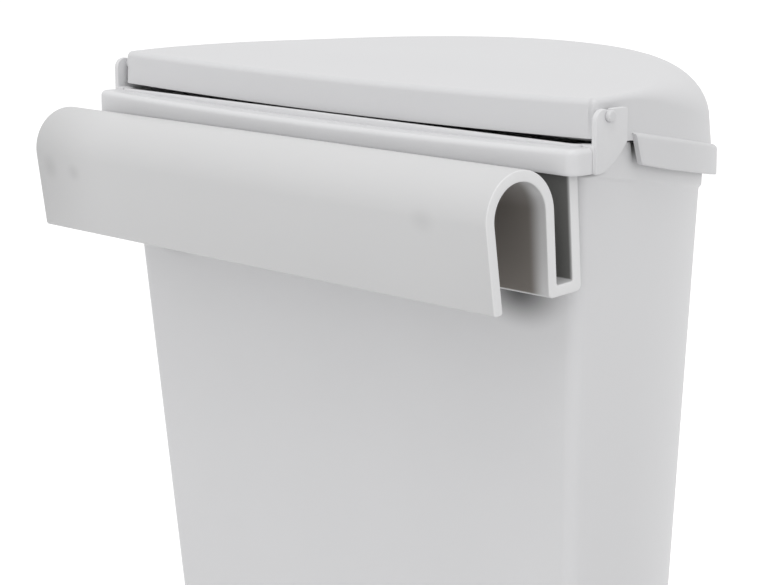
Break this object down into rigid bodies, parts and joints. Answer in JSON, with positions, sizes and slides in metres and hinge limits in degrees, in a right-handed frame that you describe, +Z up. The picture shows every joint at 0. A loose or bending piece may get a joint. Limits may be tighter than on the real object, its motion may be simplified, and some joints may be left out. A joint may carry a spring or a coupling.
{
  "type": "hanging waste bin",
  "caption": "Door-hung kitchen waste bin: tapered tub with flat back and rounded front, hinged hood lid on snap-in ears and a full-width hook that hangs over a cabinet door.",
  "frame": {"origin": "centre of the tub's flat base, on its underside", "axes": "+Z up, rounded front towards -Y, flat back wall and door hanger towards +Y, +X to the left seen from behind"},
  "size_m": [0.2332, 0.1682, 0.2747],
  "materials": {
    "tub_plastic": "fine satin moulded, off-white",
    "lid_plastic": "fine satin moulded, off-white",
    "hanger_plastic": "smooth extruded satin, off-white"
  },
  "bodies": {
    "tub": {"tub": "tub_plastic"},
    "lid": {"lid": "lid_plastic"},
    "hanger": {"door_hanger": "hanger_plastic"}
  },
  "joints": [
    {"name": "lid_hinge", "type": "hinge", "parent": "tub", "child": "lid", "pos_m": [0, 0.05742, 0.2653], "axis": [-1, 0, 0], "range_deg": [0, 110]},
    {"name": "hanger_slide", "type": "slide", "parent": "tub", "child": "hanger", "axis": [0, -0.0698, -0.9976], "range_m": [0, 0.0045]}
  ]
}
